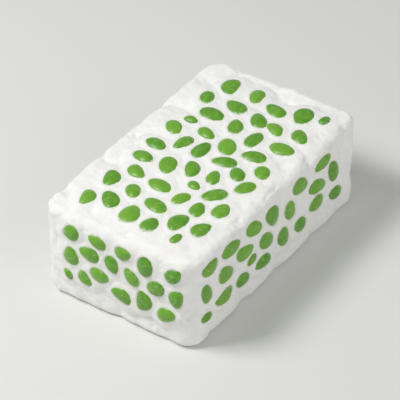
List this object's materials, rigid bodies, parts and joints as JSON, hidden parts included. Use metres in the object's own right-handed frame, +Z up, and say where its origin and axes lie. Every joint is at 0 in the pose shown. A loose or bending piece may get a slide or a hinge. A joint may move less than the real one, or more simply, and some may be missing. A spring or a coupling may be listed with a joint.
{
  "type": "tempeh cake",
  "caption": "Rounded oblong cake of tempeh: green soybeans standing out as low ovals from a lumpy block of white mycelium, flat underneath.",
  "frame": {"origin": "middle of the flat underside, on the surface that the cake lies on", "axes": "+X along the cake, +Y across it, +Z up out of its top"},
  "size_m": [0.14, 0.0852, 0.0506],
  "materials": {
    "mycelium": "matte",
    "soybean": "satin"
  },
  "bodies": {
    "root": {"tempeh_cake": "mycelium"}
  },
  "joints": []
}
